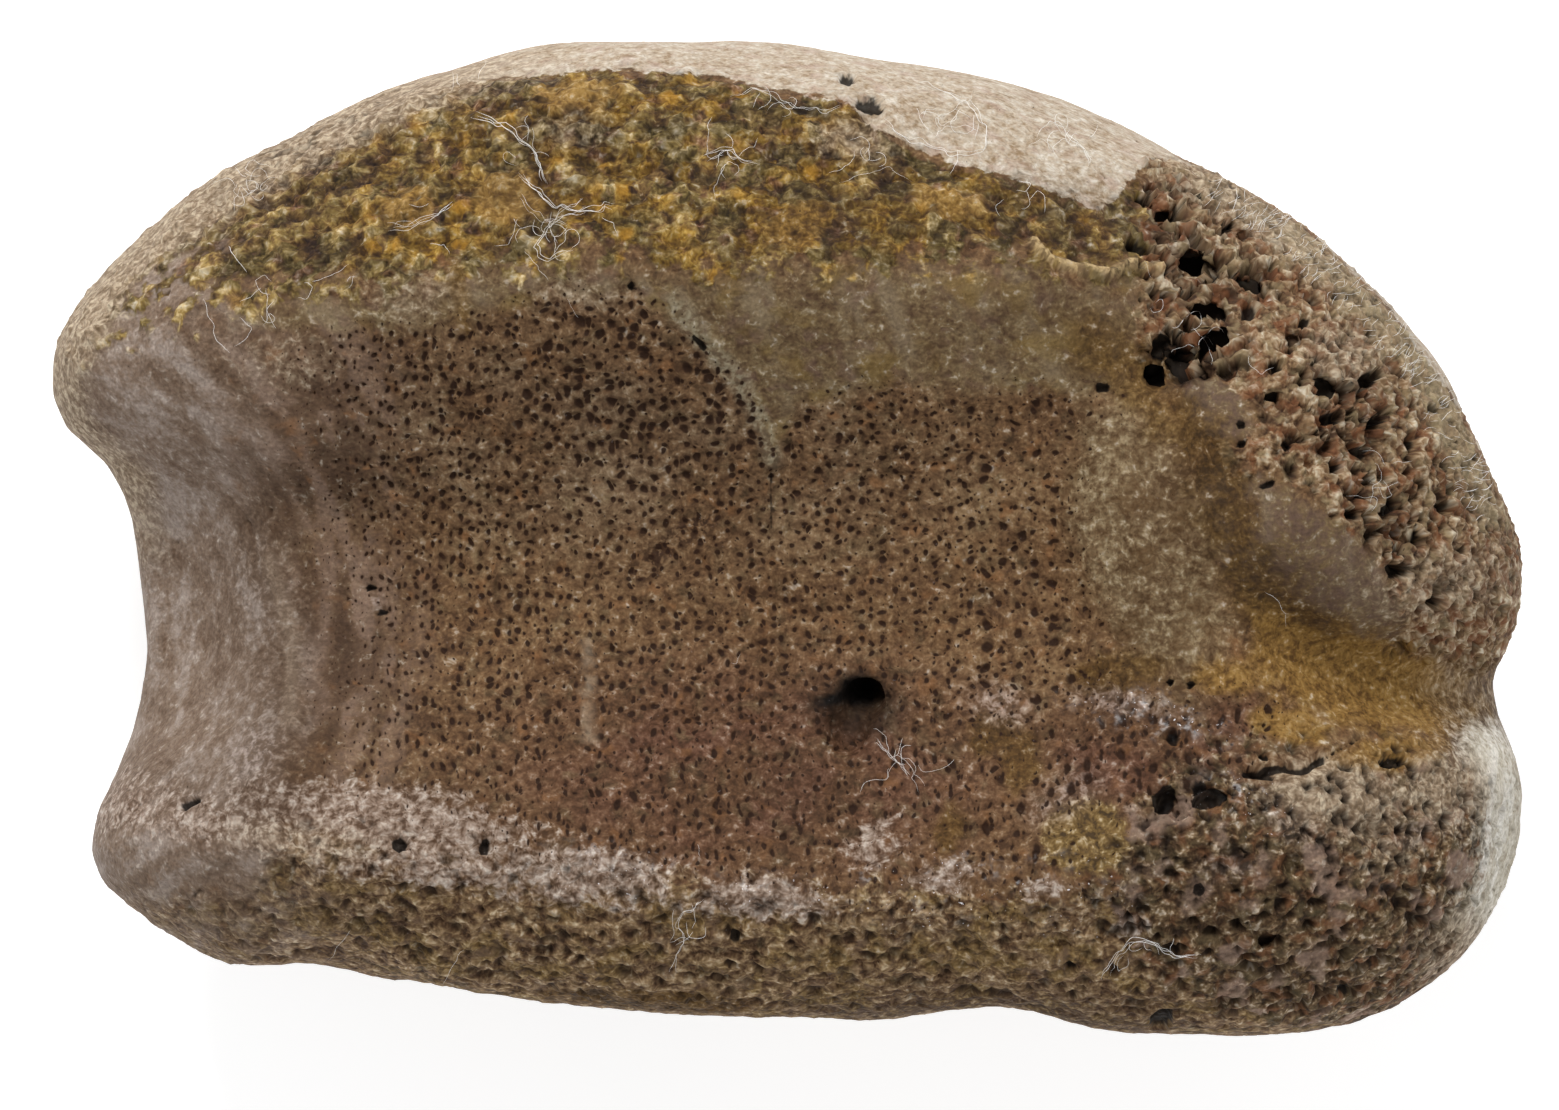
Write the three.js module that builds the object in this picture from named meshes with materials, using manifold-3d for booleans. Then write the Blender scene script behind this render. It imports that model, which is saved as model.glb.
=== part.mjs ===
// A fossil toe bone: one short, wide phalanx that lies on its underside.
// Millimetres, +Z up. +X runs across the bone to its notched side, +Y points to
// the domed (distal) joint end and -Y to the dished (proximal) one. The origin
// is on the table, under the middle of the outline.
import * as THREE from "three";
import { mergeVertices } from "three/addons/utils/BufferGeometryUtils.js";
import Module from "manifold-3d";

// ---- Driving dimensions ----
const WIDTH = 50; // across the bone, X
const LENGTH = 34; // from joint end to joint end, Y
const RIM_HEIGHT = 12.4; // the widest line, above the table
const RISE = 13.6; // the unhollowed upper side, above the widest line
const FALL = 13; // the unhollowed underside, below the widest line
const SKIN_DETAIL = 18; // subdivisions of each icosahedron face
const OUTLINE_SAMPLES = 720;
const RELIEF_FADE = 0.6; // share of the height at which relief is whole
const LUMP_HEIGHT = 0.16; // of the slow unevenness all over

// The widest line seen from above, anticlockwise from the notch: X and Y as
// shares of half the width and half the length. The joint dish draws the
// proximal edge in, so that edge starts a little outside the finished length.
const OUTLINE = [
  [0.952, -0.282], // notch between the two ends
  [0.988, -0.165],
  [0.996, -0.071],
  [0.98, 0.041],
  [0.924, 0.241],
  [0.84, 0.441],
  [0.692, 0.629],
  [0.472, 0.818],
  [0.256, 0.929],
  [0.04, 0.982],
  [-0.18, 1],
  [-0.3, 0.994],
  [-0.464, 0.941],
  [-0.624, 0.841],
  [-0.756, 0.747],
  [-0.82, 0.682],
  [-0.888, 0.594],
  [-0.952, 0.494],
  [-0.988, 0.412],
  [-1, 0.325],
  [-0.98, 0.232], // upper left knob
  [-0.928, 0.159],
  [-0.892, 0.053],
  [-0.878, -0.106],
  [-0.872, -0.259], // left side of the waist
  [-0.89, -0.406],
  [-0.932, -0.524],
  [-0.946, -0.606], // lower left knob
  [-0.934, -0.671],
  [-0.888, -0.741],
  [-0.776, -0.843],
  [-0.724, -0.867],
  [-0.668, -0.86],
  [-0.532, -0.912],
  [-0.344, -0.962],
  [-0.18, -0.988],
  [0.02, -0.999],
  [0.15, -0.998],
  [0.316, -0.976],
  [0.4, -1.008],
  [0.528, -1.025],
  [0.696, -1.003],
  [0.804, -0.952],
  [0.876, -0.88],
  [0.924, -0.812],
  [0.968, -0.706],
  [0.996, -0.547],
  [0.996, -0.459],
  [0.97, -0.36],
];

// How square the side of the bone is in section, by the way it faces: 2 is an
// ellipse. The distal end is a roller, and the proximal end a blunt face.
const SQUARE_DISTAL = 2.1;
const SQUARE_SIDES = 2.5;
const SQUARE_PROXIMAL = 3.4;
const UNDER_SQUARER = 1.22; // the underside is flatter than the upper side

// ---- Relief of the upper side ----
// The two lips that the waist lies between, as [x, y] along each crest.
const DISTAL_LIP = [
  [-25, 6.6],
  [-16.6, 8],
  [-9.8, 8.9],
  [-3, 9.4],
  [3.8, 9],
  [8.9, 8.4],
  [12.3, 6.6],
  [14.2, 3.4],
  [16, 0],
  [18.5, -2.2],
  [21.5, -3.2],
  [25, -3.4],
];
const PROXIMAL_LIP = [
  [-25, -9],
  [-20.6, -9.8],
  [-11.5, -11.4],
  [-0.2, -12.2],
  [5.5, -12.3],
  [10.6, -11],
  [14.7, -8.8],
  [18.8, -7.5],
  [25, -7],
];
// Depth of the waist under the unhollowed skin, as [x, depth].
const WAIST_DEPTH = [
  [-25, 2.4],
  [-18, 3.6],
  [-10, 4.6],
  [0, 5],
  [8, 4.4],
  [12, 3],
  [16, 1.6],
  [25, 0.9],
];
const WAIST_ROUNDING = 1.25; // above 1 the walls meet the lips more softly

// Round swellings (up) and hollows (down): centre, radii along X and Y, height.
const UPPER_FORMS = [
  { name: "pale boss", at: [12.4, -0.6], radii: [3, 4.8], height: 1.3 },
  { name: "boss's foot", at: [11.4, -4.7], radii: [2.2, 1.1], height: -0.7 },
  { name: "distal crown", at: [-3, 15.4], radii: [12, 2.4], height: 0.8 },
  { name: "worn band", at: [-5.5, 12.4], radii: [11, 1.5], height: -0.5 },
  { name: "distal corner", at: [17.5, 4.5], radii: [4.2, 5.6], height: 1.1 },
  { name: "corner hollow", at: [14, 7.6], radii: [2.1, 3.4], height: -0.9 },
  { name: "corner flat", at: [17.4, -0.4], radii: [3, 2.2], height: 0.6 },
  { name: "proximal corner", at: [18, -12], radii: [5, 3.4], height: 0.9 },
  { name: "proximal swell", at: [-13.4, -10.6], radii: [3, 1.6], height: 0.5 },
  { name: "proximal saddle", at: [-8.6, -11.4], radii: [1.8, 1.6], height: -0.4 },
  { name: "left brink", at: [-17.6, -3.4], radii: [1.6, 5.4], height: 0.7 },
  { name: "left ramp", at: [-22, -3], radii: [3.4, 7], height: -1.2 },
];
// The groove that runs out to the notch: its line, half width and depth.
const GROOVE = [
  [11.6, 5.6],
  [14, 2.6],
  [15.4, -0.8],
  [18, -3.9],
  [21, -5.2],
  [25, -5],
];
const GROOVE_HALF_WIDTH = 2.1;
const GROOVE_DEPTH = 1.1;

// ---- Relief of the underside ----
const UNDER_DISTAL_LIP = [
  [-25, 6.2],
  [0, 8.8],
  [14, 7],
  [25, 0],
];
const UNDER_PROXIMAL_LIP = [
  [-25, -8.6],
  [0, -11],
  [14, -10],
  [25, -7.4],
];
const UNDER_WAIST_DEPTH = [
  [-25, 1.6],
  [0, 3.6],
  [25, 2],
];
const UNDER_FORMS = [
  { name: "distal left foot", at: [-10.6, 7.2], radii: [6.6, 4.6], height: 1.1 },
  { name: "distal right foot", at: [10, 6.4], radii: [6.2, 4.8], height: 1.4 },
  { name: "distal saddle", at: [-0.4, 9.4], radii: [4.6, 4.4], height: -0.7 },
  { name: "proximal left foot", at: [-12.4, -9.6], radii: [6, 4], height: 0.8 },
  { name: "proximal right foot", at: [12.6, -9.8], radii: [6.4, 4.2], height: 0.6 },
  { name: "tendon hollow", at: [0, -11.4], radii: [5, 3.6], height: -1.1 },
];

// The dish of the proximal joint face: depth, half widths along X and Z, and
// how steeply it sets in as the skin turns to face the joint.
const JOINT_DISH_DEPTH = 1.5;
const JOINT_DISH_RADII = [17, 6.4];
const JOINT_DISH_ONSET = 1.6;

// ---- Holes ----
// The opening for a blood vessel, and the worn slope that leads down into it.
const FORAMEN = { at: [2.45, -5.4], radii: [0.8, 0.6, 2.6], lean: [0.5, -0.25] };
const FORAMEN_SLOPE = { at: [2, -6.2], radii: [0.75, 1.1, 0.75], lean: [-0.35, 0] };
// Broken-out cells on the upper side: x, y, radius, and length as a share of
// the width.
const CELLS = [
  [14.3, 6.6, 0.55, 0.9],
  [13.1, 5.9, 0.5, 1.3],
  [12.2, 5.4, 0.4, 0.8],
  [12.4, 6.6, 0.36, 1],
  [14, 7.7, 0.5, 0.8],
  [13.6, 9.2, 0.55, 1.2],
  [15.5, 8.5, 0.5, 0.8],
  [12.8, 10.8, 0.6, 0.8],
  [15.3, 10.4, 0.45, 1.2],
  [16.9, 6.7, 0.45, 1.3],
  [18, 5, 0.5, 0.8],
  [16.3, 4.7, 0.4, 1],
  [19.7, 5.3, 0.42, 0.9],
  [17.4, 2.6, 0.4, 1.3],
  [20, 3, 0.55, 0.8],
  [20.6, 0.2, 0.5, 1.2],
  [12.7, -8.8, 0.5, 1.4],
  [14.1, -8.7, 0.6, 0.8],
  [16.8, -10.8, 0.5, 0.8],
  [19.6, -9.6, 0.5, 1.2],
  [21.4, -11.4, 0.45, 0.9],
  [15.8, -13.2, 0.45, 0.9],
  [12.4, -15.7, 0.5, 0.8],
  [9, -13.4, 0.4, 1.2],
  [2.8, 14.2, 0.5, 0.7],
];
const CELL_DEPTH = 1.3; // of its radius
const CELL_LEAN = 0.3; // from straight down, in radians
const CELL_SIDES = 7;
const MOUTH_SIDES = 12;
const CRACK = { from: [15.3, -7.8], to: [18.7, -7], width: 0.34, depth: 0.9 };

const COLOUR = 0x75604a;

const mix = (a, b, t) => a + (b - a) * t;
const smooth = (t) => t * t * (3 - 2 * t);
const clamp01 = (t) => Math.min(1, Math.max(0, t));

// The value of a [position, value] table at x, with half-rounded knees.
function along(table, x) {
  let i = 1;
  while (i < table.length - 1 && table[i][0] < x) i++;
  const [x0, v0] = table[i - 1];
  const [x1, v1] = table[i];
  const t = clamp01((x - x0) / (x1 - x0));
  return mix(v0, v1, mix(t, smooth(t), 0.5));
}

// The outline's radius at each whole sample of the angle round the origin.
function outlineTable() {
  const points = OUTLINE.map(([x, y]) =>
    new THREE.Vector3((x * WIDTH) / 2, (y * LENGTH) / 2, 0));
  const curve = new THREE.CatmullRomCurve3(points, true, "centripetal");
  return curve.getPoints(OUTLINE_SAMPLES)
    .map((p) => [Math.atan2(p.y, p.x), Math.hypot(p.x, p.y)])
    .sort((a, b) => a[0] - b[0]);
}
const RADII = outlineTable();

function outlineRadius(angle) {
  let low = 0;
  let high = RADII.length - 1;
  if (angle <= RADII[low][0] || angle >= RADII[high][0]) return RADII[high][1];
  while (high - low > 1) {
    const middle = (low + high) >> 1;
    if (RADII[middle][0] < angle) low = middle;
    else high = middle;
  }
  const [a0, r0] = RADII[low];
  const [a1, r1] = RADII[high];
  return mix(r0, r1, (angle - a0) / (a1 - a0));
}

// 2 / this is the power that turns a circle's section into the bone's.
function squareness(angle, under) {
  const facing = Math.sin(angle);
  const end = facing > 0 ? SQUARE_DISTAL : SQUARE_PROXIMAL;
  return mix(SQUARE_SIDES, end, smooth(Math.abs(facing))) * (under ? UNDER_SQUARER : 1);
}

function formsAt(forms, x, y) {
  return forms.reduce((sum, { at, radii, height }) => {
    const u = (x - at[0]) / radii[0];
    const v = (y - at[1]) / radii[1];
    return sum + height * Math.exp(-u * u - v * v);
  }, 0);
}

function waistAt(distal, proximal, depth, x, y) {
  const low = along(proximal, x);
  const share = (y - low) / (along(distal, x) - low);
  if (share <= 0 || share >= 1) return 0;
  return -along(depth, x) * (4 * share * (1 - share)) ** WAIST_ROUNDING;
}

function distanceToLine(line, x, y) {
  let nearest = Infinity;
  for (let i = 1; i < line.length; i++) {
    const [x0, y0] = line[i - 1];
    const [dx, dy] = [line[i][0] - x0, line[i][1] - y0];
    const t = clamp01(((x - x0) * dx + (y - y0) * dy) / (dx * dx + dy * dy));
    nearest = Math.min(nearest, Math.hypot(x - x0 - t * dx, y - y0 - t * dy));
  }
  return nearest;
}

function upperRelief(x, y) {
  const off = distanceToLine(GROOVE, x, y) / GROOVE_HALF_WIDTH;
  return waistAt(DISTAL_LIP, PROXIMAL_LIP, WAIST_DEPTH, x, y)
    + formsAt(UPPER_FORMS, x, y)
    - GROOVE_DEPTH * Math.exp(-off * off);
}

function lowerRelief(x, y) {
  return waistAt(UNDER_DISTAL_LIP, UNDER_PROXIMAL_LIP, UNDER_WAIST_DEPTH, x, y)
    + formsAt(UNDER_FORMS, x, y);
}

// How far the skin stands from the widest line at x, y: 0 at the rim. The
// relief fades out at the rim, so that both sides meet there.
function standing(x, y, under) {
  const angle = Math.atan2(y, x);
  const reach = Math.min(1, Math.hypot(x, y) / outlineRadius(angle));
  const power = squareness(angle, under);
  const lift = (1 - reach ** power) ** (1 / power);
  const relief = (under ? lowerRelief : upperRelief)(x, y);
  return (under ? FALL : RISE) * lift + relief * smooth(clamp01(lift / RELIEF_FADE));
}
const upperHeight = (x, y) => RIM_HEIGHT + standing(x, y, false);
const lowerHeight = (x, y) => RIM_HEIGHT - standing(x, y, true);

// Slow unevenness of a natural surface, as a share of its full height.
function lumps(p) {
  return (Math.sin(0.9 * p.x + 1.7 * Math.sin(0.55 * p.y + 0.4 * p.z))
    + Math.sin(1.15 * p.y - 0.8 * p.z + 1.3 * Math.sin(0.7 * p.x))
    + Math.sin(1.05 * p.z + 0.75 * p.x - 1.2 * Math.sin(0.6 * p.y))) / 3;
}

// The point of the skin that a point of the unit sphere becomes.
function skinPoint(d) {
  const under = d.z < 0;
  const angle = Math.atan2(d.y * LENGTH, d.x * WIDTH);
  const reach = Math.hypot(d.x, d.y) ** (2 / squareness(angle, under));
  const radius = reach * outlineRadius(angle);
  const p = new THREE.Vector3(radius * Math.cos(angle), radius * Math.sin(angle), 0);
  p.z = (under ? lowerHeight : upperHeight)(p.x, p.y);
  const [wide, high] = JOINT_DISH_RADII;
  const dish = Math.exp(-((p.x / wide) ** 4) - (((p.z - RIM_HEIGHT) / high) ** 2));
  p.y += JOINT_DISH_DEPTH * dish * smooth(clamp01(-d.y * JOINT_DISH_ONSET));
  return p.addScaledVector(d, LUMP_HEIGHT * lumps(p));
}

const wasm = await Module();
wasm.setup();

function toSolid(geometry) {
  const bare = geometry.index ? geometry.toNonIndexed() : geometry.clone();
  bare.deleteAttribute("normal");
  bare.deleteAttribute("uv");
  const merged = mergeVertices(bare, 1e-4);
  return new wasm.Manifold(new wasm.Mesh({
    numProp: 3,
    vertProperties: merged.getAttribute("position").array,
    triVerts: new Uint32Array(merged.index.array),
  }));
}

function toGeometry(solid) {
  const mesh = solid.getMesh();
  const geometry = new THREE.BufferGeometry();
  geometry.setAttribute("position", new THREE.BufferAttribute(mesh.vertProperties, 3));
  geometry.setIndex(new THREE.BufferAttribute(mesh.triVerts, 1));
  geometry.computeVertexNormals();
  return geometry;
}

function skin() {
  const geometry = new THREE.IcosahedronGeometry(1, SKIN_DETAIL);
  const position = geometry.getAttribute("position");
  const d = new THREE.Vector3();
  for (let i = 0; i < position.count; i++) {
    const p = skinPoint(d.fromBufferAttribute(position, i).normalize());
    position.setXYZ(i, p.x, p.y, p.z);
  }
  return toSolid(geometry);
}

// A rounded hollow with its middle on the upper skin.
function hollow([x, y], radii, turn, sides) {
  const ball = new THREE.SphereGeometry(1, sides, Math.ceil(sides / 2) + 1);
  ball.scale(...radii);
  const placed = new THREE.Matrix4().makeRotationFromEuler(turn);
  placed.setPosition(x, y, upperHeight(x, y));
  return toSolid(ball.applyMatrix4(placed));
}

function cell([x, y, radius, length], i) {
  const turn = new THREE.Euler(CELL_LEAN * Math.sin(i), CELL_LEAN * Math.cos(i), 2.4 * i);
  return hollow([x, y], [radius, radius * length, radius * CELL_DEPTH], turn, CELL_SIDES);
}

function foramen() {
  const mouths = [FORAMEN, FORAMEN_SLOPE].map(({ at, radii, lean }) =>
    hollow(at, radii, new THREE.Euler(lean[0], lean[1], 0), MOUTH_SIDES));
  return wasm.Manifold.union(mouths);
}

function crack() {
  const { from, to, width, depth } = CRACK;
  const run = new THREE.Vector2(to[0] - from[0], to[1] - from[1]);
  const middle = [(from[0] + to[0]) / 2, (from[1] + to[1]) / 2];
  const turn = new THREE.Euler(0, 0, run.angle());
  return hollow(middle, [run.length() / 2, width / 2, depth], turn, CELL_SIDES);
}

function holes() {
  return wasm.Manifold.union([foramen(), crack(), ...CELLS.map(cell)]);
}

// Everything below the table, which the worn undersides of the feet lie on.
function belowTable() {
  const box = new THREE.BoxGeometry(2 * WIDTH, 2 * LENGTH, FALL);
  box.translate(0, 0, -FALL / 2);
  return toSolid(box);
}

// Puts the origin under the middle of the finished outline.
function centred(geometry) {
  geometry.computeBoundingBox();
  const middle = geometry.boundingBox.getCenter(new THREE.Vector3());
  return geometry.translate(-middle.x, -middle.y, 0);
}

const bone = new THREE.Mesh(
  centred(toGeometry(skin().subtract(holes()).subtract(belowTable()))),
  new THREE.MeshStandardMaterial({ color: COLOUR, roughness: 0.7, metalness: 0 }),
);
bone.name = "toe_bone";

const part = new THREE.Group();
part.add(bone);

export default part;
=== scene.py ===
"""A fossil toe bone on a pale table, seen from straight above.

Sizes are in millimetres until a mesh is finished, and then become metres.
"""

import math
import random

import bpy
import numpy as np
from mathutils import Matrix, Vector


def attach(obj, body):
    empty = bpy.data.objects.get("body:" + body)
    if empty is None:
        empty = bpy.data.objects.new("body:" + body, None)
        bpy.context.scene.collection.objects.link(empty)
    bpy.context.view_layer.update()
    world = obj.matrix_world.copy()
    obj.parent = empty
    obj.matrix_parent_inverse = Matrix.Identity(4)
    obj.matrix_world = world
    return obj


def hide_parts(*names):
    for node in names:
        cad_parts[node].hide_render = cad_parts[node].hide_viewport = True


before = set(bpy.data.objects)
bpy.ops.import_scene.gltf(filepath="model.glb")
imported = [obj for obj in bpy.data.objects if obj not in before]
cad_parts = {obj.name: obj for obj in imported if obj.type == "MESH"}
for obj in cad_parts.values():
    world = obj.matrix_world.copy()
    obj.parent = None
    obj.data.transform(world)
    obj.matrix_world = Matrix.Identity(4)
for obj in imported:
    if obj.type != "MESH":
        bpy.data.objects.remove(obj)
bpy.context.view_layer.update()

MM = 0.001
SEED = 11

# ---- The view ----
RIM = 12.4  # height of the bone's widest line
VIEW_HEIGHT = 500.0  # camera above the widest line
VIEW_WIDTH = 53.0  # width of the picture at the widest line
VIEW_CENTRE = (-0.28, -0.59)
SENSOR_WIDTH = 36.0
FLOOR_WIDTH = 6000.0
FLOOR_GREY = (0.7, 0.7, 0.7, 1)
FLOOR_GLOW = 0.87

# ---- The bone's skin ----
SKIN_VOXEL = 0.16
SKIN_SMOOTHING = 16  # passes
SKIN_TRIANGLES = 195000

# Lines on the upper side, as seen from above.
JOINT_BORDER = [  # where the smooth distal joint surface begins
    (-25.4, 8.3), (-23.4, 10), (-21.7, 11.2), (-19.8, 12.3), (-17.3, 13.6), (-14.5, 14.7),
    (-11.8, 15.3), (-9.1, 15.7), (-6.4, 15.9), (-3, 15.8), (-0.3, 15.2), (2.1, 14.8), (2.7, 14),
    (4, 13.4), (5, 12.9), (7.6, 12.3), (9.4, 11.6), (10.6, 11.1), (11.5, 11.9), (12.4, 13),
    (14.6, 12.7), (17.6, 10.7), (20.4, 7.9), (22.6, 4.8), (24.3, 2.2), (25.6, -1),
]
BAND_FOOT = [  # lower edge of the worn, ochre band
    (-24.7, 5.6), (-22.4, 6.4), (-20, 7.1), (-18.6, 7.7), (-16.2, 8.4), (-13.9, 8.4), (-12.2, 8.8),
    (-10.5, 9.2), (-7.7, 9.5), (-5.7, 9.5), (-3, 9.1), (-1.9, 8.9), (-0.9, 9.3), (1.4, 9.3),
    (3.8, 9.4), (5.9, 9.4), (7.2, 9.6), (9.3, 9.2), (11, 8.9), (12.3, 9.2),
]
LEDGE = [(8.3, 10), (8.8, 9.4), (9.9, 9.1), (10.9, 8.9), (11.6, 9.3), (12.6, 9.1)]
FILM_FOOT = [  # lower edge of the smooth film that hides the pores
    (-19, 7.1), (-15.6, 7.2), (-12.2, 7), (-9.8, 7.8), (-7.7, 8.4), (-6.4, 8), (-5, 8.2),
    (-3.7, 7.5), (-3, 6.6), (-1.6, 5.4), (-0.8, 3.8), (-0.5, 2.9), (0.4, 4.4), (1.8, 5), (3.8, 5.2),
    (5.9, 4.9), (7.9, 5.2), (9.3, 5), (10.6, 4.8), (12.3, 5.6),
]
FILM_EDGE = [(-3.9, 8), (-3, 6.8), (-1.7, 5.4), (-0.9, 4), (-0.5, 2.6)]
GROOVE = [
    (10.6, 6.6), (12.4, 5), (14, 3.4), (15, 1), (15.6, -1.2), (17.2, -3), (20, -4.6), (23.5, -5.4),
]
RIDGE = [
    (-24, -8.6), (-20.3, -9.6), (-16.9, -9.9), (-13.2, -10.6), (-9.1, -11.2), (-5.7, -11.7),
    (-0.3, -12.4), (3.8, -12.6), (7.2, -12.7),
]
CREASE = [(-19.4, 6.4), (-18.8, 2), (-17.6, -0.8), (-16.8, -3.5), (-16.9, -6.2), (-17.9, -8.6)]
CRACK = [(15.6, -8), (16.6, -7.8), (17.4, -7.9), (18.2, -7.5), (19.4, -6.8)]
HAIRLINE = [(-0.5, 2.2), (-0.6, 1.6), (-0.5, 0.9), (-0.6, 0.3)]
SCRATCH = [(-6.8, -3.5), (-6.7, -4.8), (-6.9, -5.9), (-6.7, -6.9)]
DISH_FOLD = [(-5, -1.2), (-4.5, -0.7), (-3.6, 0.2), (-2.8, 0.5)]

# Patches on the upper side: x, y, two radii and, for a turned one, degrees.
CRUST = [
    (-13.6, -9.6, 4.4, 1.2, -7), (-17.5, -9, 1.6, 0.8, -20), (-6.4, -11.4, 2, 0.8, -8),
    (-0.7, -12.3, 2.4, 0.7, -4), (3, -10.4, 1.2, 0.7, 35), (5.4, -11.6, 1.3, 0.6),
    (8.8, -12, 1, 0.4, 10), (11.6, -13.2, 0.8, 0.3, 20),
]
# where the coat is wet and the painted glints gather
GLINTS = [
    (-6, -11.4, 2.2, 0.8, -8), (-0.4, -12.3, 2.6, 0.7, -4), (4.8, -12.2, 2.4, 1.3),
    (9.4, -12.2, 2, 1.2), (12.4, -6, 2.6, 0.6, -14), (16, -9.2, 1.8, 0.8, -25),
]
# pale flecks, some of them painted sheen
PALE_AND_SHEEN_SPOTS = [
    (17.4, -9.8, 1.1, 0.5, -28), (19, -8.8, 1.2, 0.45, -15), (15, -11.2, 0.8, 0.4),
    (-17.9, 12.4, 0.5, 0.8, 30), (-18.1, -7.3, 0.8, 0.6, 20), (21.4, -10, 1, 0.4, 20),
    (-14, -2.15, 0.3, 0.2, -30), (9.4, -8.8, 1.2, 0.6, 30), (7.2, -5.6, 1, 0.6, -20),
    (11.4, -5.6, 1.6, 0.3, -12),
]
YELLOW_PATCH = [(10.1, -10.2, 1.5, 1.3)]
# a painted highlight along the pale right end
LIT_END_EDGE = [(23.7, -6.9), (24.3, -8.4), (24.5, -10.2), (24.2, -12), (23.4, -13.6)]
OCHRE = [
    (7.9, -7.6, 0.7, 1.1), (5.5, -9.9, 0.5, 0.8, -20), (-4.6, -15.7, 3.6, 0.35, -3),
    (-11.2, 8.4, 0.3, 1.5, 12), (11.3, -4.6, 1.8, 0.7, 6), (7, -6.6, 0.9, 0.7, 30),
]
AMBER = [
    (-18.8, 8.1, 0.35, 0.3), (20.4, -7.4, 2, 0.6, 8), (-12.9, 11.2, 0.9, 0.8),
    (-9.4, 11.6, 1.2, 0.9), (0.4, 10.6, 1.2, 0.7, 15), (-7.2, 15, 1.4, 0.5, 5),
    (5.6, 11.4, 1.3, 0.5, -12), (15, -4.8, 1.2, 0.6), (17.2, -6.4, 1.3, 0.6, -10),
    (17, -3.3, 1.4, 0.6, -38),
]
# painted light along the left rim, with dust on it
LIT_RIM_WITH_DUST = [
    (-21.9, -0.5), (-22.4, 1.8), (-24.3, 3.2), (-24.9, 4.6), (-24.5, 6.2), (-22.8, 9.3),
    (-20, 11.3), (-17, 13.2), (-14.2, 14.6), (-10.5, 15.9), (-7, 16.6),
]
# painted light along the lobe's upper rim
LOBE_RIM = [(11, 13.4), (12.4, 12.6), (14.6, 11.9), (16.8, 10.4), (19, 8.4), (20.6, 6.6)]
SHEEN_AND_DUST = [  # bleached and dust-covered stretches, and painted sheen: share, then as above
    (1, 18.7, -8.8, 2.3, 1.2, -10), (0.8, 22.3, -8.5, 1.5, 1.2, 15), (0.4, 20.5, -10.8, 1.5, 1),
    (0.65, 22.7, -14, 1.5, 1.1, 42), (0.6, 18.9, 6.2, 1.5, 1.3, -40),
    (0.55, 22.6, -1.5, 2.6, 1.2, 10), (0.4, -12.6, 8.2, 1.7, 0.8, 10), (0.35, -7, 8.2, 1.8, 0.7),
    (0.6, 2.2, 13.5, 1.5, 0.7, -10), (0.35, -7.4, 13.9, 1.4, 0.8, 10),
    (0.5, -16.4, -10.4, 2.6, 0.8, -8), (0.35, -16.8, 6, 1.7, 1), (0.45, 22.8, -5.1, 1.4, 0.9, -15),
    (0.25, 13.4, 9.8, 1, 0.9),
]
DARKER_AND_SHADED = [  # darker stretches, among them painted shade along the bottom edge
    (0.75, 6.6, -16.5, 5.5, 1), (0.35, -9, 11.8, 1.5, 0.9), (0.35, 1.6, 10.7, 3.2, 1.3, 8),
    (0.35, 9, 11, 2.6, 1.1, -12), (0.3, 8.6, 8.2, 2.2, 0.8), (0.35, 14.9, -12.4, 1.8, 1.2),
    (0.25, -11.2, -8.6, 1.7, 0.8, -10), (0.25, 0.4, -8.6, 2, 1.2),
    (0.25, -20.2, -8.4, 1.8, 0.8, -10),
]
PITS = [  # single holes, larger than the pores round them
    (-5.3, 8.5, 0.15, 0.18), (-3, 6.6, 0.1, 0.42, 40), (2, 15.6, 0.26, 0.22),
    (2.8, 14.7, 0.46, 0.3, -15), (-13.2, -10.4, 0.28, 0.24), (-10.3, -10.5, 0.2, 0.28),
    (12.7, -16.4, 0.45, 0.3, 35), (12.8, -8.9, 0.34, 0.5, -10), (14.3, -8.9, 0.55, 0.3, 10),
    (14, -8.5, 0.25, 0.3), (10.7, 5.1, 0.25, 0.2), (15.4, 3.9, 0.16, 0.14),
    (15.4, 3.2, 0.18, 0.12, 20), (17, 3.2, 0.22, 0.2), (16.3, 1.8, 0.34, 0.1, 25),
    (-20.4, -9, 0.42, 0.16, 25), (-14.2, -1.7, 0.22, 0.13, 30), (-13.8, -2.55, 0.24, 0.1, 20),
    (13.1, -6.8, 0.26, 0.22), (13.7, -5, 0.14, 0.12), (13, -4.9, 0.12, 0.1),
    (16.2, -7.4, 0.16, 0.14), (9.6, -14.6, 0.2, 0.14), (-1.8, -13.6, 0.2, 0.2),
    (14, -12, 0.2, 0.26), (18.9, -15.4, 0.22, 0.2), (20.6, -7.6, 0.5, 0.2, 10),
    (16.1, -8, 0.42, 0.17, -15),
]
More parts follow.
